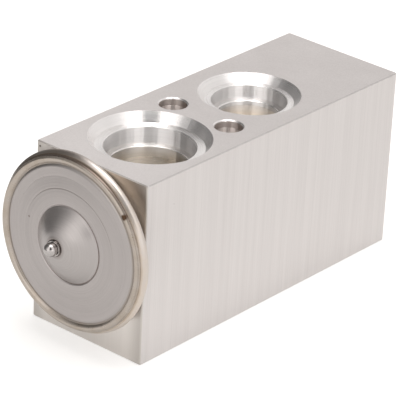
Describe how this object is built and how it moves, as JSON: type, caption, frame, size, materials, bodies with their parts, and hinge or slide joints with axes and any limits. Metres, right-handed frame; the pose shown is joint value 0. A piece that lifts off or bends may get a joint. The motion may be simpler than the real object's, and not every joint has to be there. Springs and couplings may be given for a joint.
{
  "type": "thermostatic expansion valve",
  "caption": "Block-type refrigerant expansion valve: diaphragm head on an aluminium block with suction and liquid ports, a ball, spring and adjusting screw",
  "frame": {"origin": "midway between the two bolt holes on the line-side face, which the valve also rests on", "axes": "+Z from the line-side face to the evaporator-side face, +Y along the block from the diaphragm head to the adjusting screw, +X across it"},
  "size_m": [0.0422, 0.1014, 0.0474],
  "materials": {
    "block_aluminium": "machined",
    "head_steel": "pressed, satin",
    "weld_steel": "heat tinted",
    "plug_steel": "bright",
    "rod_aluminium": "turned",
    "inner_steel": "turned",
    "spring_steel": "drawn",
    "screw_brass": "turned",
    "seal_rubber": "matt"
  },
  "bodies": {
    "valve_body": {"valve_block": "block_aluminium", "lower_cover": "head_steel", "head_seal": "seal_rubber", "diaphragm": "inner_steel", "upper_cover": "head_steel", "rim_weld": "weld_steel", "charge_plug": "plug_steel", "rod_seal": "seal_rubber", "seal_retainer": "spring_steel", "valve_spring": "spring_steel"},
    "valve_stem": {"stopper": "screw_brass", "sensing_rod": "rod_aluminium", "push_rod": "inner_steel", "valve_ball": "plug_steel", "ball_carrier": "inner_steel", "damper_spring": "spring_steel"},
    "screw_slide": {"screw_seal": "seal_rubber"},
    "screw": {"adjusting_screw": "screw_brass"}
  },
  "joints": [
    {"name": "valve_lift", "type": "slide", "parent": "valve_body", "child": "valve_stem", "axis": [0, 1, 0], "range_m": [-0.00047, 0.0005], "stiffness_N_per_m": 400, "deforming": ["valve_spring", "diaphragm"]},
    {"name": "screw_advance", "type": "slide", "parent": "valve_body", "child": "screw_slide", "axis": [0, 1, 0], "range_m": [-0.001, 0.001], "deforming": ["valve_spring"]},
    {"name": "screw_turn", "type": "hinge", "parent": "screw_slide", "child": "screw", "pos_m": [0, 0.044, 0.0263], "axis": [0, -1, 0], "range_deg": [-360, 360]}
  ],
  "couplings": [
    {"joint": "screw_advance", "follows": "screw_turn", "m_per_rad": -0.00015915}
  ]
}
